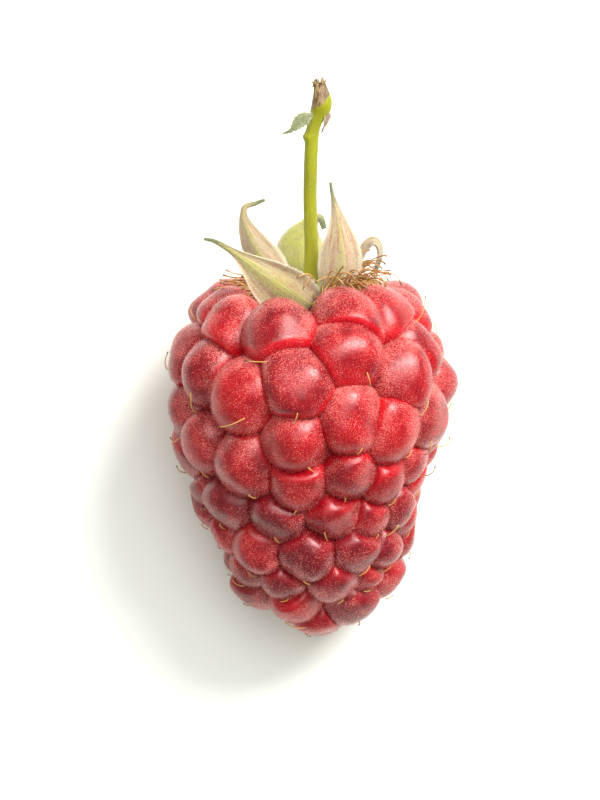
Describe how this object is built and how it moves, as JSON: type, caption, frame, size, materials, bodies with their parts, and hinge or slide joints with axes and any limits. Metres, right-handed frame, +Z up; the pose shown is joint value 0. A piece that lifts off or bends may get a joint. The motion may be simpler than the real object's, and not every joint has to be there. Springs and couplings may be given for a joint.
{
  "type": "raspberry",
  "caption": "Ripe raspberry lying on its flank: a blunt cone of fused, round, downy drupelets with its thin stem, leafy calyx, dry stamens and small bracts.",
  "frame": {"origin": "on the surface that the fruit rests on, under the middle of the whole part's bounding box", "axes": "+Z up from the resting surface, +Y towards the stem's cut end, +X to the right seen from above with the stem away from the viewer"},
  "size_m": [0.0234, 0.0438, 0.0229],
  "materials": {
    "fruit": "satin, downy",
    "stem": "satin",
    "sepal": "felted",
    "bract": "felted",
    "stamen": "dry, matt"
  },
  "bodies": {
    "root": {"fruit": "fruit", "pedicel": "stem", "sepal_front_left": "sepal", "sepal_back_left": "sepal", "sepal_behind_stem": "sepal", "sepal_front_right": "sepal", "sepal_back_right": "sepal", "bract": "bract", "bract_scale": "bract", "stamen_01": "stamen", "stamen_02": "stamen", "stamen_03": "stamen", "stamen_04": "stamen", "stamen_05": "stamen", "stamen_06": "stamen", "stamen_07": "stamen", "stamen_08": "stamen", "stamen_09": "stamen", "stamen_10": "stamen", "stamen_11": "stamen", "stamen_12": "stamen", "stamen_13": "stamen", "stamen_14": "stamen", "stamen_15": "stamen", "stamen_16": "stamen", "stamen_17": "stamen", "stamen_18": "stamen", "stamen_19": "stamen", "stamen_20": "stamen", "stamen_21": "stamen", "stamen_22": "stamen"}
  },
  "joints": []
}
